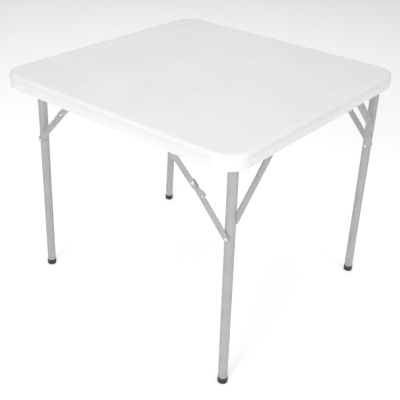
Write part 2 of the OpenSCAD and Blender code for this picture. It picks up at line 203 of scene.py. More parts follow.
def zincSteel():
    # bright zinc plate: drawn lines, a cloudy passivated bloom and duller pits
    f = Finish("zinc steel", IOR=1.5)
    drawn = f.noise(320.0, 3.0, 0.6, stretch=(1, 1, 9))
    bloom = f.noise(110.0, 4.0, 0.65)
    pits = f.noise(1700.0, 2.0).ramp(0.64, 0.72)
    colour = f.colours(bloom.ramp(0.35, 0.7), grey(0.78, 0.004), grey(0.60, 0.02))
    colour = f.colours(pits * 0.5, colour, grey(0.36, 0.03))
    return f.use(
        Base_Color=colour,
        Metallic=1.0 - pits * 0.4,
        Roughness=bloom * 0.18 + pits * 0.2 + 0.20,
        Normal=f.bump(drawn, 0.00005, 0.35),
    )


finishes = {
    "moulded_white": mouldedWhite(),
    "grey_powder_coat": powderCoat("grey powder coat", 0.43),
    "dark_rubber": footRubber(),
    "grey_plastic": plugPlastic(),
    "zinc_steel": zincSteel(),
}
print("finishes made")


# ---- surfaces


def gridFaces(rows, columns, wrapRows=False, wrapColumns=False):
    # quads between neighbouring points of a grid that is stored row by row
    i = np.arange(rows if wrapRows else rows - 1)[:, None]
    j = np.arange(columns if wrapColumns else columns - 1)[None, :]
    down, across = (i + 1) % rows, (j + 1) % columns
    quads = [i * columns + j, i * columns + across, down * columns + across, down * columns + j]
    return np.stack(quads, -1).reshape(-1, 4).tolist()


def joined(parts):
    # several (points, faces) pairs as one
    points, faces, start = [], [], 0
    for part, partFaces in parts:
        points.append(part)
        faces += [[index + start for index in face] for face in partFaces]
        start += len(part)
    return np.concatenate(points), faces


def arc(centre, radius, first, last, count):
    # points c + r (cos t, sin t), with t in degrees from first to last
    t = np.radians(np.linspace(first, last, count))
    return np.stack([centre[0] + radius * np.cos(t), centre[1] + radius * np.sin(t)], -1)


def spaced(outline, step):
    # the closed outline without repeated points and with no side longer than step
    outline = outline[np.linalg.norm(np.roll(outline, -1, axis=0) - outline, axis=1) > 1e-6]
    ends = np.roll(outline, -1, axis=0)
    counts = np.maximum(1, np.ceil(np.linalg.norm(ends - outline, axis=1) / step)).astype(int)
    shares = [np.linspace(0, 1, count, endpoint=False)[:, None] for count in counts]
    return np.concatenate([a + (b - a) * share for a, b, share in zip(outline, ends, shares)])


def roundedRect(low, high, radius, count=8):
    (x0, y0), (x1, y1) = low, high
    r = radius
    corners = [
        ((x1 - r, y0 + r), -90),
        ((x1 - r, y1 - r), 0),
        ((x0 + r, y1 - r), 90),
        ((x0 + r, y0 + r), 180),
    ]
    return np.concatenate([arc(c, r, a, a + 90, count) for c, a in corners])


def inset(loop, distance):
    # every point moved to the left of its direction of travel, into the material
    before, after = loop - np.roll(loop, 1, axis=0), np.roll(loop, -1, axis=0) - loop
    before /= np.linalg.norm(before, axis=1)[:, None]
    after /= np.linalg.norm(after, axis=1)[:, None]
    middle = before + after
    middle /= np.maximum(np.linalg.norm(middle, axis=1), 1e-9)[:, None]
    square = np.stack([-middle[:, 1], middle[:, 0]], -1)
    stretch = 1 / np.maximum((middle * before).sum(1), 0.5)
    return loop + distance * stretch[:, None] * square


def inside(points, loop):
    # even-odd rule: how many sides of the loop lie to the right of each point
    a, b = loop, np.roll(loop, -1, axis=0)
    x, y = points[:, 0:1], points[:, 1:2]
    crosses = (a[:, 1] > y) != (b[:, 1] > y)
    height = np.where(b[:, 1] == a[:, 1], 1e-12, b[:, 1] - a[:, 1])
    return (crosses & (x < (b[:, 0] - a[:, 0]) * (y - a[:, 1]) / height + a[:, 0])).sum(1) % 2 == 1


def area(loop):
    after = np.roll(loop, -1, axis=0)
    return 0.5 * (loop[:, 0] * after[:, 1] - after[:, 0] * loop[:, 1]).sum()


def net(loops, step, extra=None):
    # triangles between the loops, with a square lattice of points inside the first and outside the others
    low, high = loops[0].min(0), loops[0].max(0)
    counts = np.maximum(1, np.ceil((high - low) / step)).astype(int)
    lattice = np.stack(np.meshgrid(*[np.linspace(a, b, n + 1)[:-1] + (b - a) / n / 2
                                     for a, b, n in zip(low, high, counts)]), -1).reshape(-1, 2)
    if extra is not None:
        lattice = extra if step > 10 else np.concatenate([lattice, extra])
    keep = inside(lattice, inset(loops[0], min(step * 0.4, 0.002)))
    for hole in loops[1:]:
        keep &= ~inside(lattice, inset(hole, min(step * 0.4, 0.002)))
    points = np.concatenate([*loops, lattice[keep]])
    sides, start = [], 0
    for loop in loops:
        sides += [(start + i, start + (i + 1) % len(loop)) for i in range(len(loop))]
        start += len(loop)
    flat, _, triangles, origin, _, _ = delaunay_2d_cdt([tuple(p) for p in points], sides, [], 0, 1e-9)
    flat, triangles = np.array([tuple(p) for p in flat]), np.array(triangles)
    middles = flat[triangles].mean(1)
    keep = inside(middles, loops[0])
    for hole in loops[1:]:
        keep &= ~inside(middles, hole)
    # a triangle beside a loop lies inside when it runs along the loop's own direction
    known = np.array([o[0] if o else -1 for o in origin])[triangles]
    codes = known * len(points) + np.roll(known, -1, axis=1)
    sides = np.array(sides)
    keep |= np.isin(codes, sides[:, 0] * len(points) + sides[:, 1]).any(1)
    keep &= ~np.isin(codes, sides[:, 1] * len(points) + sides[:, 0]).any(1)
    return flat, triangles[keep]


def slab(outline, thickness, holes=(), rounding=0.0005, step=0.003, relief=None, extra=None):
    # a flat plate with rounded rims: two nets joined by rings that follow each loop round
    # points are (s, t, n), with n from -thickness/2 to thickness/2 plus relief(s, t)
    outline = outline if area(outline) > 0 else outline[::-1]
    holes = [hole[::-1] if area(hole) > 0 else hole for hole in holes]
    loops = [outline, *holes]
    turn = np.radians([0, 30, 60, 90])
    depths = np.concatenate([rounding * (1 - np.sin(turn)), rounding * (1 - np.cos(turn))])
    upper = thickness / 2 - rounding * (1 - np.cos(turn))
    heights = np.concatenate([upper, rounding * (1 - np.sin(turn)) - thickness / 2])
    points, triangles = net([inset(loop, rounding) for loop in loops], step, extra)
    lift = relief(points[:, 0], points[:, 1]) if relief else 0
    parts = [
        (np.column_stack([points, np.full(len(points), thickness / 2) + lift]), triangles.tolist()),
        (np.column_stack([points, np.full(len(points), -thickness / 2) + lift]), triangles[:, ::-1].tolist()),
    ]
    for loop in loops:
        rings = [np.column_stack([inset(loop, d), np.full(len(loop), h)]) for d, h in zip(depths, heights)]
        rings = np.concatenate(rings)
        if relief:
            rings[:, 2] += relief(rings[:, 0], rings[:, 1])
        parts.append((rings, gridFaces(len(depths), len(loop), wrapColumns=True)))
    return joined(parts)


def spun(profile, count=48):
    # a profile of (along, radius) turned round its own line: (along, r cos v, r sin v)
    profile = np.asarray(profile, float)
    v = np.linspace(0, 2 * math.pi, count, endpoint=False)[None, :]
    along, radius = profile[:, 0:1], profile[:, 1:2]
    points = np.stack([along + 0 * v, radius * np.cos(v), radius * np.sin(v)], -1).reshape(-1, 3)
    return points, gridFaces(len(profile), count, wrapColumns=True)


def bead(path, radius, count=10, seed=0.0):
    # a weld bead round a closed path: p(u) + r(u) (cos v n + sin v b),
    # where r swells with each dab of the torch
    ahead = np.roll(path, -1, axis=0) - np.roll(path, 1, axis=0)
    ahead /= np.linalg.norm(ahead, axis=1)[:, None]
    side = np.cross(ahead, np.roll(ahead, len(path) // 4, axis=0) + [0.01, 0.02, 0.03])
    side /= np.linalg.norm(side, axis=1)[:, None]
    other = np.cross(ahead, side)
    u = np.linspace(0, 2 * math.pi, len(path), endpoint=False)
    swell = radius * (1 + 0.16 * np.abs(np.sin(u * 13 + seed)) + 0.06 * np.sin(u * 5 + 2 * seed))
    v = np.linspace(0, 2 * math.pi, count, endpoint=False)
    around = np.cos(v)[None, :, None] * side[:, None] + np.sin(v)[None, :, None] * other[:, None]
    points = path[:, None] + swell[:, None, None] * around
    return points.reshape(-1, 3), gridFaces(len(path), count, True, True)


def smooth(x, low, high):
    # 0 below low, 1 above high, 3u^2 - 2u^3 between
    u = np.clip((x - low) / (high - low), 0, 1)
    return u * u * (3 - 2 * u)


def makePiece(name, parts, body, slot, nodes=()):
    # one mesh from arrays, seams merged and normals turned outwards, riding on its body in its nodes' place
    points, faces = joined(parts)
    mesh = bpy.data.meshes.new(name)
    mesh.from_pydata(points.tolist(), [], faces)
    work = bmesh.new()
    work.from_mesh(mesh)
    bmesh.ops.remove_doubles(work, verts=work.verts, dist=2e-6)
    bmesh.ops.dissolve_degenerate(work, edges=work.edges, dist=1e-7)
    bmesh.ops.recalc_face_normals(work, faces=work.faces)
    work.to_mesh(mesh)
    work.free()
    mesh.shade_smooth()
    mesh.set_sharp_from_angle(angle=math.radians(48))
    mesh.materials.append(finishes[slot])
    piece = bpy.data.objects.new(name, mesh)
    bpy.context.scene.collection.objects.link(piece)
    if nodes:
        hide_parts(*nodes)
    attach(piece, body)
    return piece


# ---- leg frames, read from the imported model


class LegFrame:
    # inward is the way from its hinge line to the middle of the table, +1 or -1 along Y
    # local points are (x, inwards from the hinge line, up from it), on the left side
    def __init__(self, key, inward):
        hinge = joints[key + "_frame_fold"]
        self.key, self.inward = key, inward
        _, self.hingeY, self.hingeZ = hinge["pos_m"]
        self.lean = math.radians(hinge["range_deg"][1] - 90)
        low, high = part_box(key + "_leg_left")
        self.legX, self.tube = (low.x + high.x) / 2, (high.x - low.x) / 2
        self.outer = self.legX - self.tube
        self.legPivot = self.local(joints[key + "_leg_pivot_left"]["pos_m"])
        self.topPivot = self.local(joints[key + "_top_pivot_left"]["pos_m"])
        low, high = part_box(key + "_joint_rivet_left")
        self.middlePivot = self.local((low + high) / 2)

    def local(self, point):
        return np.array([(point[1] - self.hingeY) * self.inward, point[2] - self.hingeZ])

    def world(self, part, side="left"):
        points, faces = part
        flip = -1 if side == "right" else 1
        return np.column_stack([
            points[:, 0] * flip,
            self.hingeY + self.inward * points[:, 1],
            self.hingeZ + points[:, 2],
        ]), faces

    def leaned(self, part):
        # turns a part drawn round a plumb leg out by the lean
        points, faces = part
        c, s = math.cos(self.lean), math.sin(self.lean)
        x, a, h = points.T
        return np.column_stack([x, c * a + s * h, c * h - s * a]), faces

    def level(self, node):
        # layers of a node on the left, measured outwards from the side of the leg
        low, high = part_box(self.key + node)
        return self.outer - high.x, self.outer - low.x

    def pin(self, profile, at, count=40):
        # a turned part round the brace's X line; its profile counts outwards from the side of the leg
        points, faces = spun(profile, count)
        return np.column_stack([self.outer - points[:, 0], at[0] + points[:, 1], at[1] + points[:, 2]]), faces

    def sheet(self, part, origin, along, level):
        # lays (s, t, n) with s along the given direction, t to its left as seen from outside, n outwards
        points, faces = part
        along = np.array(along) / np.linalg.norm(along)
        left = np.array([-along[1], along[0]])
        flat = origin + points[:, 0:1] * along + points[:, 1:2] * left
        return np.column_stack([self.outer - level - points[:, 2], flat]), faces


wideFrame = LegFrame("wide", 1)
narrowFrame = LegFrame("narrow", -1)
legFrames = [wideFrame, narrowFrame]
sides = ["left", "right"]


# ---- moulded top

top = {
    "cornerRadius": 0.070,
    "edgeRadius": 0.009,
    "lowerRadius": 0.003,
    "skirtWall": 0.016,
    "deck": 0.017,
    "partingDrop": 0.0115,  # line where the two mould halves met
    "partingDepth": 0.0008,
    "dimplePitch": 0.0475,  # tack-off dimples under the deck
    "dimpleRadius": 0.0085,
    "dimpleDepth": 0.0065,
}


def topOutline(half, inward, cornerPoints=22, sidePoints=26):
    # a square with round corners, moved in by a distance: the corners keep their centres
    radius = top["cornerRadius"] - inward
    centre = half - top["cornerRadius"]
    corners = [arc((sx * centre, sy * centre), radius, a, a + 90, cornerPoints)
               for sx, sy, a in ((1, 1, 0), (-1, 1, 90), (-1, -1, 180), (1, -1, 270))]
    loop = []
    for this, following in zip(corners, corners[1:] + corners[:1]):
        share = np.linspace(0, 1, sidePoints + 2)[1:-1, None]
        loop += [this, this[-1] + (following[0] - this[-1]) * share]
    return np.concatenate(loop)


def topShell():
    # the skirt's cross-section (inwards, up) carried round the outline, then both flats filled with nets
    low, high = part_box("tabletop")
    half, bottom, height = high.x, low.z, high.z
    edge, lower, wall = top["edgeRadius"], top["lowerRadius"], top["skirtWall"]
    deckUnder = height - top["deck"]
    turn = np.radians(np.linspace(0, 90, 12))
    coarse = turn[::3]
    groove = height - top["partingDrop"]
    g = top["partingDepth"]
    curves = [
        [(0.014, height)],
        np.column_stack([edge - edge * np.sin(turn), height - edge + edge * np.cos(turn)]),
        [(0, groove + 0.0016), (g * 0.4, groove + 0.0012), (g, groove + 0.0006), (g, groove - 0.0006),
         (g * 0.4, groove - 0.0012), (0, groove - 0.0016), (0, (groove + bottom) / 2),
         (0, bottom + lower + 0.001)],
        np.column_stack([lower - lower * np.cos(turn), bottom + lower - lower * np.sin(turn)]),
        [(lower + 0.001, bottom), (wall - 0.003, bottom)],
        np.column_stack([wall - 0.002 + 0.002 * np.sin(coarse), bottom + 0.002 - 0.002 * np.cos(coarse)]),
        [(wall, bottom + 0.004), (wall, deckUnder - 0.0040)],
        np.column_stack([wall + 0.003 - 0.003 * np.cos(coarse), deckUnder - 0.003 + 0.003 * np.sin(coarse)]),
        [(wall + 0.005, deckUnder)],
    ]
    profile = np.concatenate([np.array(curve, float) for curve in curves])
    loops = [topOutline(half, distance) for distance in profile[:, 0]]
    rings = [np.column_stack([loop, np.full(len(loop), z)]) for loop, z in zip(loops, profile[:, 1])]
    skirt = (np.concatenate(rings), gridFaces(len(rings), len(rings[0]), wrapColumns=True))
    points, triangles = net([topOutline(half, profile[0, 0])], 0.018)
    flat = (np.column_stack([points, np.full(len(points), height)]), triangles.tolist())
    return [skirt, flat, underDeck(half, profile[-1, 0], deckUnder)]


def underDeck(half, inward, deckUnder):
    # the underside: flat, with round dimples pressed up to stiffen the hollow deck
    # height = deck + depth * (1 - smooth(distance from the dimple's centre))
    pitch, radius = top["dimplePitch"], top["dimpleRadius"]
    reach = half - inward - 0.022
    rows = np.arange(-int(reach / (pitch * 0.866)), int(reach / (pitch * 0.866)) + 1)
    i, j = np.meshgrid(rows, np.arange(-12, 13), indexing="ij")
    centres = np.stack([(j + 0.5 * (i % 2)) * pitch, i * pitch * 0.866], -1).reshape(-1, 2)
    clear = (np.abs(centres) < reach).all(1)
    for leg in legFrames:
        for node in ("_hinge_strap_", "_brace_bracket_"):
            for side in sides:
                low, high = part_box(leg.key + node + side)
                away = np.maximum(np.maximum(np.array(low[:2]) - centres, centres - np.array(high[:2])), 0)
                clear &= np.linalg.norm(away, axis=1) > radius + 0.003
    centres = centres[clear]
    turn = np.linspace(0, 2 * math.pi, 14, endpoint=False)
    circle = np.stack([np.cos(turn), np.sin(turn)], -1)
    radii = np.array([0.3, 0.5, 0.68, 0.86, 1.0]) * radius
    marks = (centres[:, None, None] + radii[None, :, None, None] * circle[None, None]).reshape(-1, 2)
    marks = np.concatenate([marks, centres])
    points, triangles = net([topOutline(half, inward)], 11.0, marks)
    distance = np.sqrt(((points[:, None] - centres[None]) ** 2).sum(-1).min(1))
    depth = top["dimpleDepth"] * (1 - smooth(distance, radius * 0.3, radius))
    return np.column_stack([points, deckUnder + depth]), triangles[:, ::-1].tolist()


def hingeBoss(leg, side):
    # a block with a half-round seat for the crossbar
    low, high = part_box(leg.key + "_hinge_strap_left")
    reach, deckDrop = (high.y - low.y) / 2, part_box("tabletop")[1].z - top["deck"] - leg.hingeZ
    seat = leg.tube + 0.00005
    outline = np.concatenate([
        [(-reach, 0.0), (-seat, 0.0)],
        arc((0, 0), seat, 180, 0, 25)[1:-1],
        [(seat, 0.0), (reach, 0.0), (reach, deckDrop + 0.002), (-reach, deckDrop + 0.002)],
    ])
    block, faces = slab(outline, high.x - low.x, rounding=0.0004, step=0.006)
    middle = (low.x + high.x) / 2
    return leg.world((np.column_stack([middle + block[:, 2], block[:, :2]]), faces), side)


makePiece("moulded_top", topShell() + [hingeBoss(leg, side) for leg in legFrames for side in sides],
          "top_assembly", "moulded_white", ["tabletop"])
print("moulded top made")


# ---- tubes, feet and plugs

feet = {"height": 0.020, "wall": 0.001, "lowerRound": 0.0035, "lipRound": 0.0008}
welds = {"radius": 0.0013, "strapRadius": 0.0016}


def legTube(leg):
    # plain tube from inside the foot cap up to the crossbar's middle line
    length = leg.hingeZ / math.cos(leg.lean)
    profile = [(-length + 0.005, 0), (-length + 0.005, leg.tube - 0.0006), (-length + 0.0056, leg.tube)]
    profile += [(x, leg.tube) for x in np.linspace(-length + 0.02, -0.012, 40)]
    points, faces = spun(profile + [(-0.001, leg.tube), (0, leg.tube * 0.5), (0, 0)], 56)
    return leg.leaned((np.column_stack([leg.legX + points[:, 1], points[:, 2], points[:, 0]]), faces))


def legWeld(leg, seed):
    # where two equal tubes cross square, the seam drops by sqrt(r^2 - (r sin v)^2) below the crossbar's line
    v = np.linspace(0, 2 * math.pi, 144, endpoint=False)
    r = leg.tube
    path = np.stack([leg.legX + r * np.cos(v), r * np.sin(v), -np.abs(r * np.cos(v))], -1)
    return leg.leaned(bead(path, welds["radius"], seed=seed))


def footCap(leg):
    # a cap with a rounded sole; points under the floor are laid flat on it
    length = leg.hingeZ / math.cos(leg.lean)
    radius, h = leg.tube + feet["wall"], feet["height"]
    turn = np.radians(np.linspace(0, 90, 9))
    sole, lip = feet["lowerRound"], feet["lipRound"]
    profile = np.concatenate([
        [(0, 0), (0, radius - sole - 0.002)],
        np.column_stack([sole - sole * np.cos(turn), radius - sole + sole * np.sin(turn)]),
        [(h * 0.55, radius), (h * 0.58, radius - 0.0003), (h * 0.64, radius - 0.0003), (h * 0.67, radius)],
        np.column_stack([h - lip + lip * np.sin(turn), radius - lip + lip * np.cos(turn)]),
        [(h, leg.tube - 0.0005), (h - 0.004, leg.tube - 0.0005), (h - 0.004, 0)],
    ])
    profile[:, 0] -= length
    points, faces = spun(profile, 64)
    upright = np.column_stack([leg.legX + points[:, 1], points[:, 2], points[:, 0]])
    points, faces = leg.leaned((upright, faces))
    points[:, 2] = np.maximum(points[:, 2], -leg.hingeZ)
    return points, faces


def crossbarTube(leg):
    # reaches a tube's radius past each leg, with a small rolled rim
    half = -leg.outer
    rim = [(half, leg.tube - 0.0015), (half - 0.0002, leg.tube - 0.0005), (half - 0.0007, leg.tube)]
    outside = [(x, leg.tube) for x in np.linspace(half - 0.02, 0.02 - half, 60)]
    profile = [(half, 0)] + rim + outside + [(-x, r) for x, r in rim[::-1]] + [(-half, 0)]
    return leg.world(spun(profile, 56))


def crossbarPlug(leg, side):
    # domed cap with a flat rim on the tube's open end
    radius, start = leg.tube, leg.outer
    turn = np.radians(np.linspace(0, 90, 8))
    dome = np.column_stack([-0.0006 - 0.0009 * np.sin(turn), (radius - 0.0004) * np.cos(turn * 0.999)])
    skirt = [(0.0095, 0), (0.0095, radius - 0.0013), (0, radius - 0.0013), (0, radius - 0.0002)]
    profile = np.concatenate([skirt, dome])
    profile[-1, 1] = 0
    points, faces = spun(profile, 48)
    points[:, 0] += start
    return leg.world((points, faces), side)


strap = {"width": 0.027, "thickness": 0.004, "bite": 0.0004, "legGap": 0.005, "topRise": 0.005}
gusset = {"width": 0.020, "thickness": 0.004, "bite": 0.0004, "legGap": 0.005, "topRise": 0.005}


def strutStrip(leg, settings, node):
    # a strip at 45 degrees, cut plumb beside the leg and level along the crossbar, on the frame's outer face
    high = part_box(leg.key + node)[1]
    drop = settings["width"] / math.sqrt(2)
    legEnd = leg.legX + settings["legGap"]
    rise = settings["topRise"]
    corner = high.x - rise - drop  # where the middle line meets the crossbar's line
    level = corner - legEnd
    outline = np.array([(legEnd, -level - drop), (corner + rise + drop, rise),
                        (corner + rise - drop, rise), (legEnd, drop - level)])
    outline = spaced(outline, 0.004)

    def channel(s, t):
        # a shallow pressed line along the middle, on wide strips only
        if drop <= 0.015:
            return 0 * s
        line = 1 - smooth(np.abs((s - corner - t) / math.sqrt(2)), 0.0025, 0.0055)
        ends = smooth(s, legEnd + 0.012, legEnd + 0.028) * (1 - smooth(t, -0.045, -0.028))
        return -0.0007 * line * ends

    points, faces = slab(outline, settings["thickness"], rounding=0.0007, step=0.0032, relief=channel)
    depth = leg.tube - settings["bite"] + settings["thickness"] / 2
    strip = leg.leaned((np.column_stack([points[:, 0], points[:, 2] - depth, points[:, 1]]), faces))
    return strip, (corner, legEnd, level, drop)


def strutWelds(leg, settings, shape, seed):
    # short beads along both ends of the strip
    corner, legEnd, level, drop = shape
    depth = leg.tube - settings["bite"] + 0.0008
    u = np.linspace(0, 2 * math.pi, 60, endpoint=False)
    flat = 0.0012
    reach, face = 0.86 * drop * np.cos(u), -depth - 0.5 * flat + flat * np.sin(u)
    across = np.stack([corner + reach, face, np.full(60, 0.0052)], -1)
    upright = np.stack([np.full(60, legEnd - 0.0004), face, -level + reach], -1)
    size = welds["strapRadius"] * 0.6
    return [leg.leaned(bead(path, size, seed=seed + i)) for i, path in enumerate((across, upright))]


for leg in legFrames:
    body = leg.key + "_frame"
    makePiece(leg.key + "_crossbar_tube", [crossbarTube(leg)], body, "grey_powder_coat",
              [leg.key + "_crossbar"])
    makePiece(leg.key + "_plugs", [crossbarPlug(leg, side) for side in sides], body, "grey_plastic",
              [leg.key + "_crossbar_plugs"])
    settings, node = (strap, "_strut_") if leg is wideFrame else (gusset, "_gusset_")
    for number, side in enumerate(sides):
        strip, shape = strutStrip(leg, settings, node + "left")
        makePiece(f"{leg.key}{node}strip_{side}", [leg.world(strip, side)], body, "grey_powder_coat",
                  [leg.key + node + side])
        makePiece(f"{leg.key}_leg_tube_{side}", [leg.world(legTube(leg), side)], body, "grey_powder_coat",
                  [f"{leg.key}_leg_{side}"])
        makePiece(f"{leg.key}_foot_cap_{side}", [leg.world(footCap(leg), side)], body, "dark_rubber",
                  [f"{leg.key}_foot_{side}"])
        beads = [legWeld(leg, number)] + strutWelds(leg, settings, shape, 2.0 + number)
        makePiece(f"{leg.key}_weld_beads_{side}", [leg.world(part, side) for part in beads], body,
                  "grey_powder_coat")
print("leg frames made")


# ---- braces

link = {
    "radius": 0.010, "rounding": 0.0006, "lockHole": 0.043, "lockHoleRadius": 0.003,
    "ribWidth": 0.0036, "ribHeight": 0.0006, "tail": 0.007, "kink": 0.038, "bladeTurn": 3.3,
    "thumbStart": 0.019, "thumbEnd": 0.048, "thumbDepth": 0.0047, "bend": 0.0018,
}


def rib(s, across, start, end):
    # a raised line pressed along the strip, fading out at both ends
    ridge = 1 - smooth(np.abs(across), link["ribWidth"] * 0.45, link["ribWidth"])
    return link["ribHeight"] * ridge * smooth(s, start, start + 0.008) * (1 - smooth(s, end - 0.008, end))


def lowerLink(leg):
    # a strip with round ends; its thumb tab is a hump of the flat pattern, rolled in towards the leg
    length = np.linalg.norm(leg.legPivot - leg.middlePivot)
    along = leg.legPivot - leg.middlePivot
    r, start, end = link["radius"], link["thumbStart"], link["thumbEnd"]
    s = np.linspace(end, start, 34)
    u = (s - start) / (end - start)
    hump = link["thumbDepth"] * np.sin(math.pi * u ** 2.1) ** 0.8
    outline = np.concatenate([
        arc((0, 0), r, 90, 270, 28),
        np.stack([np.linspace(0.004, length - 0.004, 52), np.full(52, -r)], -1),
        arc((length, 0), r, -90, 90, 28),
        np.stack([np.linspace(length - 0.004, end + 0.002, 38), np.full(38, r)], -1),
        np.stack([s, r + hump], -1),
        np.stack([np.linspace(start - 0.002, 0.002, 8), np.full(8, r)], -1),
    ])
    inner, outer = 0.0008, 0.0033
    hole = arc((link["lockHole"], 0), link["lockHoleRadius"], 0, 360, 33)[:-1]
    dense = np.meshgrid(np.linspace(start, end, 30), np.linspace(r - 0.002, r + 0.007, 16))
    dense = np.stack(dense, -1).reshape(-1, 2)
    raised = lambda a, b: rib(a, b, 0.056, length - 0.022)
    points, faces = slab(outline, outer - inner, [hole], link["rounding"], 0.0026, raised, dense)
    # the hump's outer part rolls inwards round a small radius: t -> t0 + b sin, n -> n - b (1 - cos)
    t0, b = r - 0.0022, link["bend"] + 0.00125
    past = np.maximum(points[:, 1] - t0, 0)
    near = (points[:, 0] > start - 0.004) & (points[:, 0] < end + 0.004)
    amount = smooth(points[:, 0], start - 0.003, start + 0.004)
    amount *= 1 - smooth(points[:, 0], end - 0.004, end + 0.003)
    turn = np.where(near, np.minimum(past / b, math.pi / 2) * amount, 0)
    extra = np.maximum(past - b * math.pi / 2, 0)
    n = points[:, 2].copy()
    rolledT = t0 + (b + n) * np.sin(turn) + extra * np.cos(turn)
    rolledN = -b + (b + n) * np.cos(turn) - extra * np.sin(turn)
    roll = near & (past > 0)
    points[:, 1] = np.where(roll, rolledT, points[:, 1])
    points[:, 2] = np.where(roll, rolledN, points[:, 2])
    # t grows towards the corner of the table, which is to the right of the way down to the leg
    return leg.sheet((points * [1, -1, 1], faces), leg.middlePivot, along, (inner + outer) / 2)


def upperLink(leg):
    # a blade turned a few degrees off its pivots' line, with a kink back to the top pivot
    along = leg.topPivot - leg.middlePivot
    length = np.linalg.norm(along)
    angle = math.radians(link["bladeTurn"])
    blade = np.array([math.cos(angle), math.sin(angle)])
    square = np.array([-blade[1], blade[0]])
    kink = (length - link["kink"]) * blade
    rest = np.array([length, 0]) - kink
    rest /= np.linalg.norm(rest)
    restSquare = np.array([-rest[1], rest[0]])
    r = link["radius"]
    tail = -link["tail"] * blade
    bladeTurn, restTurn = math.degrees(angle), math.degrees(math.atan2(rest[1], rest[0]))
    elbow = (square + restSquare) / np.linalg.norm(square + restSquare)
    outline = np.concatenate([
        arc(tail, r, bladeTurn + 90, bladeTurn + 270, 28),
        [kink - elbow * r / (elbow @ square)],
        arc((length, 0), r, restTurn - 90, restTurn + 90, 28),
        arc(kink, r, restTurn + 90, bladeTurn + 90, 6),
    ])
    outline = spaced(outline, 0.003)
    inner, outer = leg.level("_upper_link_left")
    raised = lambda s, t: rib(s * blade[0] + t * blade[1], t * blade[0] - s * blade[1], 0.012, length - 0.052)
    points, faces = slab(outline, outer - inner, [], link["rounding"], 0.0026, raised)
    return leg.sheet((points, faces), leg.middlePivot, along, (inner + outer) / 2)


def dome(start, radius, height, outward=1, rim=0.0003):
    # rivet head: a short rim, then height * cos(t) over radius * sin(t)
    t = np.radians(np.linspace(90, 0, 12))
    return [(start + outward * (rim + (height - rim) * math.cos(a)), radius * math.sin(a)) for a in t]


rivets = {"shank": 0.003, "legHead": 0.0055, "legHeadHeight": 0.0017, "tailHeight": 0.0016,
          "jointHead": 0.0056, "jointHeadHeight": 0.0018, "bracketHead": 0.0055}


def headBand(start, radius, height, outward=1):
    # a whole head from its flat underside to its crown
    return [(start, rivets["shank"]), (start, radius)] + dome(start, radius, height, outward)


def legRivet(leg):
    far, out = -2 * leg.tube, 0.0034
    profile = headBand(far, rivets["legHead"] - 0.0006, rivets["tailHeight"], -1)[::-1]
    profile += headBand(out, rivets["legHead"], rivets["legHeadHeight"])
    return leg.pin(profile, leg.legPivot)


def legWasher(leg):
    # a ring pressed against the round of the tube
    radius, shank, face = 0.0065, rivets["shank"], 0.0007
    profile = [(-0.0015, shank), (-0.0018, radius), (face - 0.0002, radius), (face, radius - 0.0003),
               (face, shank), (-0.0015, shank)]
    return leg.pin(profile, leg.legPivot)


def jointRivet(leg):
    inner, _ = leg.level("_joint_rivet_left")
    face = leg.level("_upper_link_left")[1]
    profile = [(inner, 0), (inner, rivets["shank"])]
    profile += headBand(face, rivets["jointHead"], rivets["jointHeadHeight"])
    return leg.pin(profile, leg.middlePivot)


def jointStud(leg):
    # thin tail head, shank and spacer collar
    inner, outer = leg.level("_joint_stud_left")
    shank, head, r = rivets["shank"], rivets["jointHead"] - 0.0002, 0.0003
    profile = [(inner, 0), (inner, head - r), (inner + 0.0002, head), (0.0008, head), (0.0008, shank),
               (0.0033, shank), (0.0033, head), (outer - r, head), (outer, head - r), (outer, 0)]
    return leg.pin(profile, leg.middlePivot)


def bracketRivet(leg):
    inner = leg.level("_upper_link_left")[0]
    face = bracketPlate(leg)[1]
    profile = headBand(inner - 0.0002, 0.0042, 0.0013, -1)[::-1]
    profile += headBand(face, rivets["bracketHead"], rivets["jointHeadHeight"])
    return leg.pin(profile, leg.topPivot)


# ---- brackets, hinge straps and screws

bracket = {"thickness": 0.002, "radius": 0.012, "flange": 0.014, "flangeLength": 0.042, "bend": 0.0022,
           "lipStart": 0.008, "lipEnd": 0.022, "screwReach": 0.014}
hingeStrap = {"thickness": 0.002, "cornerRadius": 0.004, "bend": 0.0012}
screw = {"head": 0.0035, "height": 0.002, "slot": 0.00055, "slotReach": 0.0023, "slotDepth": 0.0011}


def deckHeight(leg):
    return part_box("tabletop")[1].z - top["deck"] - leg.hingeZ


def bracketPlate(leg):
    face = leg.level("_upper_link_left")[1] + 0.0008
    return face, face + bracket["thickness"]


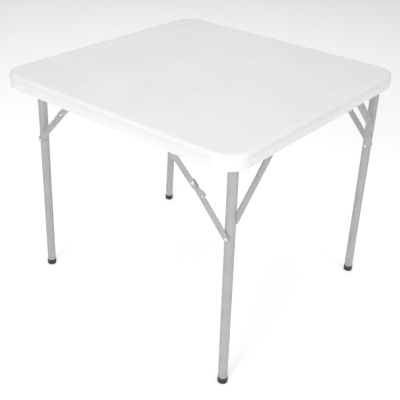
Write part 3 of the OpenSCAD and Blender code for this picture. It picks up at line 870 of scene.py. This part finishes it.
def braceBracket(leg):
    # flat pattern (along the table, up): a round-ended plate, then a wider flange bent out under the deck
    inner, outer = bracketPlate(leg)
    rise = deckHeight(leg) - leg.topPivot[1] - bracket["thickness"] / 2
    r, half, b = bracket["radius"], bracket["flangeLength"] / 2, bracket["bend"]
    straight = rise - b
    long = straight + b * math.pi / 2 + bracket["flange"] - b - bracket["thickness"] / 2
    c = 0.004
    outline = np.concatenate([
        arc((0, 0), r, 180, 360, 26),
        [(r, straight - 0.001), (half - 0.002, straight + 0.002), (half, straight + 0.004)],
        arc((half - c, long - c), c, 0, 90, 7),
        arc((c - half, long - c), c, 90, 180, 7),
        [(-half, straight + 0.004), (0.002 - half, straight + 0.002), (-r, straight - 0.001)],
    ])
    outline = spaced(outline, 0.0025)
    bendRows = np.meshgrid(np.linspace(-half, half, 22), np.linspace(straight, straight + b * 1.6, 7))
    bendRows = np.stack(bendRows, -1).reshape(-1, 2)
    points, faces = slab(outline, bracket["thickness"], [], 0.0004, 0.0025, None, bendRows)
    # bend(t): straight, then a quarter turn of radius b, then level outwards
    t, n = points[:, 1], points[:, 2]
    turn = np.clip((t - straight) / b, 0, math.pi / 2)
    extra = np.maximum(t - straight - b * math.pi / 2, 0)
    up = np.where(t > straight, straight + (b - n) * np.sin(turn), t)
    out = np.where(t > straight, b - (b - n) * np.cos(turn) + extra, n)
    x = leg.outer - (inner + outer) / 2 - out
    plate = np.column_stack([x, leg.topPivot[0] + points[:, 0], leg.topPivot[1] + up])
    return [(plate, faces), stopLip(leg)]


def stopLip(leg):
    # a tab bent in over the upper link's edge, which the link rests against when it is locked
    length = np.linalg.norm(leg.topPivot - leg.middlePivot)
    turn = math.radians(link["bladeTurn"])
    along = (leg.topPivot - leg.middlePivot) / length
    left = np.array([-along[1], along[0]])
    kink = leg.middlePivot + (length - link["kink"]) * (math.cos(turn) * along + math.sin(turn) * left)
    inner, outer = leg.level("_upper_link_left")[0], bracketPlate(leg)[1]
    face = link["radius"] + 0.0003
    thick = bracket["thickness"]
    outline = np.concatenate([
        [(face, inner), (face + thick, inner), (face + thick, outer - 0.0018)],
        arc((face + thick - 0.0018, outer - 0.0018), 0.0018, 0, 90, 6),
        [(0.004, outer), (0.004, outer - thick), (face - 0.0004, outer - thick)],
        [(face, outer - thick - 0.0004)],
    ])
    points, faces = slab(spaced(outline, 0.002), bracket["lipEnd"] - bracket["lipStart"], [], 0.0004, 0.0015)
    s = (bracket["lipStart"] + bracket["lipEnd"]) / 2 + points[:, 2]
    direction = (kink - leg.topPivot) / np.linalg.norm(kink - leg.topPivot)
    right = np.array([direction[1], -direction[0]])
    flat = leg.topPivot + s[:, None] * direction + points[:, 0:1] * right
    return np.column_stack([leg.outer - points[:, 1], flat]), faces


def hingeStrapSheet(leg):
    # flat pattern carried along a path: flange, small bend, half circle under the crossbar, bend, flange
    low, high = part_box(leg.key + "_hinge_strap_left")
    width, reach = high.x - low.x, (high.y - low.y) / 2
    t = hingeStrap["thickness"]
    ring, middle = leg.tube + 0.00005 + t / 2, -t / 2
    turn = np.linspace(math.pi + 0.07, 2 * math.pi - 0.07, 60)
    path = np.concatenate([
        np.stack([np.linspace(-reach, -ring - 0.0012, 14), np.full(14, middle)], -1),
        np.stack([ring * np.cos(turn), ring * np.sin(turn)], -1),
        np.stack([np.linspace(ring + 0.0012, reach, 14), np.full(14, middle)], -1),
    ])
    travel = np.concatenate([[0], np.cumsum(np.linalg.norm(np.diff(path, axis=0), axis=1))])
    length = travel[-1]
    outline = roundedRect((0, -width / 2), (length, width / 2), hingeStrap["cornerRadius"])
    outline = spaced(outline, 0.0015)

    def pressed(s, a):
        # a stiffening line round the half circle
        ends = smooth(s, 0.016, 0.022) * (1 - smooth(s, length - 0.022, length - 0.016))
        return 0.0007 * (1 - smooth(np.abs(a), 0.002, 0.005)) * ends

    points, faces = slab(outline, t, [], 0.0004, 0.0016, pressed)
    ahead = np.gradient(path, axis=0)
    ahead /= np.linalg.norm(ahead, axis=1)[:, None]
    at = [np.interp(points[:, 0], travel, path[:, k]) for k in (0, 1)]
    way = [np.interp(points[:, 0], travel, ahead[:, k]) for k in (0, 1)]
    lift = points[:, 2]
    middle = (low.x + high.x) / 2
    return np.column_stack([middle + points[:, 1], at[0] + way[1] * lift, at[1] - way[0] * lift]), faces


def panScrew(at, under):
    # head surface: height * (1 - (q^2.6)) over radius q, less a cross where |x| or |y| is inside the slot
    q = np.concatenate([np.linspace(0, 1, 22), [1.0, 0.62, 0.57, 0.57, 0.0]])[:, None]
    v = np.linspace(0, 2 * math.pi, 72, endpoint=False)[None, :]
    x, y = screw["head"] * q * np.cos(v), screw["head"] * q * np.sin(v)
    crown = screw["height"] * (0.35 + 0.65 * (1 - q ** 2.6)) + 0 * v
    arm = np.minimum(np.abs(x), np.abs(y))
    reach = np.maximum(np.abs(x), np.abs(y))
    cross = 1 - smooth(arm, screw["slot"] * 0.7, screw["slot"] * 1.3)
    cross = cross * (1 - smooth(reach, screw["slotReach"] * 0.8, screw["slotReach"]))
    z = crown - screw["slotDepth"] * cross
    z[22:24] = 0
    z[24] = -0.004
    z[25:] = -0.0095
    points = np.stack([at[0] + x, at[1] + y, under - z], -1).reshape(-1, 3)
    return points, gridFaces(len(q), v.shape[1], wrapColumns=True)


def strapScrews(leg):
    low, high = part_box(leg.key + "_hinge_strap_left")
    place = leg.tube + ((high.y - low.y) / 2 - leg.tube + hingeStrap["thickness"]) / 2
    return [panScrew(((low.x + high.x) / 2, way * place), -hingeStrap["thickness"]) for way in (-1, 1)]


def bracketScrews(leg):
    inner, outer = bracketPlate(leg)
    middle = leg.outer - inner - (bracket["flange"] + bracket["thickness"]) / 2
    under = deckHeight(leg) - bracket["thickness"]
    return [panScrew((middle, leg.topPivot[0] + way * bracket["screwReach"]), under) for way in (-1, 1)]


everySide = [(leg, side) for leg in legFrames for side in sides]


def onEverySide(make):
    return [leg.world(make(leg), side) for leg, side in everySide]


def addBrace(leg, side):
    key = leg.key
    links = [
        # name, surface, body, finish, node
        ("lower_link_strip", lowerLink(leg), "lower_link", "grey_powder_coat", "lower_link"),
        ("upper_link_strip", upperLink(leg), "upper_link", "grey_powder_coat", "upper_link"),
        ("middle_rivet", jointRivet(leg), "upper_link", "zinc_steel", "joint_rivet"),
        ("middle_stud", jointStud(leg), "lower_link", "zinc_steel", "joint_stud"),
    ]
    for name, surface, body, slot, node in links:
        makePiece(f"{key}_{name}_{side}", [leg.world(surface, side)], f"{key}_{body}_{side}", slot,
                  [f"{key}_{node}_{side}"])
    plates = [leg.world(part, side) for part in braceBracket(leg)]
    makePiece(f"{key}_bracket_plate_{side}", plates, "top_assembly", "zinc_steel",
              [f"{key}_brace_bracket_{side}"])
    makePiece(f"{key}_strap_sheet_{side}", [leg.world(hingeStrapSheet(leg), side)], "top_assembly",
              "zinc_steel", [f"{key}_hinge_strap_{side}"])


for leg in legFrames:
    for side in sides:
        addBrace(leg, side)
    for name, make, node in (("_leg_pins", legRivet, "_leg_rivets"), ("_washers", legWasher, "_leg_washers")):
        makePiece(leg.key + name, [leg.world(make(leg), side) for side in sides], leg.key + "_frame",
                  "zinc_steel", [leg.key + node])
makePiece("bracket_pins", onEverySide(bracketRivet), "top_assembly", "zinc_steel", ["bracket_rivets"])
for name, make, node in (("strap_pan_screws", strapScrews, "strap_screws"),
                         ("bracket_pan_screws", bracketScrews, "bracket_screws")):
    parts = [leg.world(part, side) for leg, side in everySide for part in make(leg)]
    makePiece(name, parts, "top_assembly", "zinc_steel", [node])
print("braces, brackets and screws made")


# ---- camera, floor and lights

view = {"lens": 61.58, "place": (-1.56145, -1.22870, 1.43665), "turn": -51.784, "down": 30.044, "roll": 2.379}


def addCamera():
    a, e, roll = (math.radians(view[key]) for key in ("turn", "down", "roll"))
    back = np.array([math.sin(a) * math.cos(e), -math.cos(a) * math.cos(e), math.sin(e)])
    right = np.array([math.cos(a), math.sin(a), 0])
    up = np.cross(back, right)
    right, up = math.cos(roll) * right + math.sin(roll) * up, math.cos(roll) * up - math.sin(roll) * right
    lens = bpy.data.cameras.new("view")
    lens.lens, lens.sensor_width = view["lens"], 36
    camera = bpy.data.objects.new("view", lens)
    bpy.context.scene.collection.objects.link(camera)
    turned = Matrix(np.column_stack([right, up, back]).tolist()).to_4x4()
    camera.matrix_world = Matrix.Translation(view["place"]) @ turned
    bpy.context.scene.camera = camera


def addFloor():
    # a wide pale sheet
    n = 60
    x, y = np.meshgrid(np.linspace(-30, 30, n), np.linspace(-30, 30, n), indexing="ij")
    points = np.stack([x, y, np.full_like(x, 0.0)], -1).reshape(-1, 3)
    mesh = bpy.data.meshes.new("floor")
    mesh.from_pydata(points.tolist(), [], gridFaces(n, n))
    paper = Finish("paper floor", Emission_Color=grey(1.0), Emission_Strength=0.40)
    tint = paper.noise(3.0, 2.0)
    paper.use(Base_Color=paper.colours(tint, grey(0.86), grey(0.88)), Roughness=tint * 0.1 + 0.8)
    mesh.materials.append(paper.material)
    floor = bpy.data.objects.new("floor", mesh)
    bpy.context.scene.collection.objects.link(floor)


lights = [
    # name, place, size, watts
    ("key", (-3.5, -0.9, 2.3), 1.3, 65),
    ("front", (-0.6, -3.6, 2.0), 1.6, 37),
    ("overhead", (0.2, 0.3, 3.9), 3.0, 68),
    ("back", (2.8, 2.4, 2.6), 2.4, 6),
]


def addLights():
    for name, place, size, watts in lights:
        lamp = bpy.data.lights.new(name, "AREA")
        lamp.energy, lamp.size = watts, size
        holder = bpy.data.objects.new(name, lamp)
        bpy.context.scene.collection.objects.link(holder)
        away = Vector(place) - Vector((0, 0, 0.45))
        holder.rotation_euler = away.to_track_quat("Z", "Y").to_euler()
        holder.location = place
    world = bpy.data.worlds.new("studio")
    world.use_nodes = True
    world.node_tree.nodes["Background"].inputs["Color"].default_value = (1, 1, 1, 1)
    world.node_tree.nodes["Background"].inputs["Strength"].default_value = 0.22
    bpy.context.scene.world = world


addCamera()
addFloor()
addLights()
bpy.context.scene.view_settings.view_transform = "Standard"
print("camera and lights set")
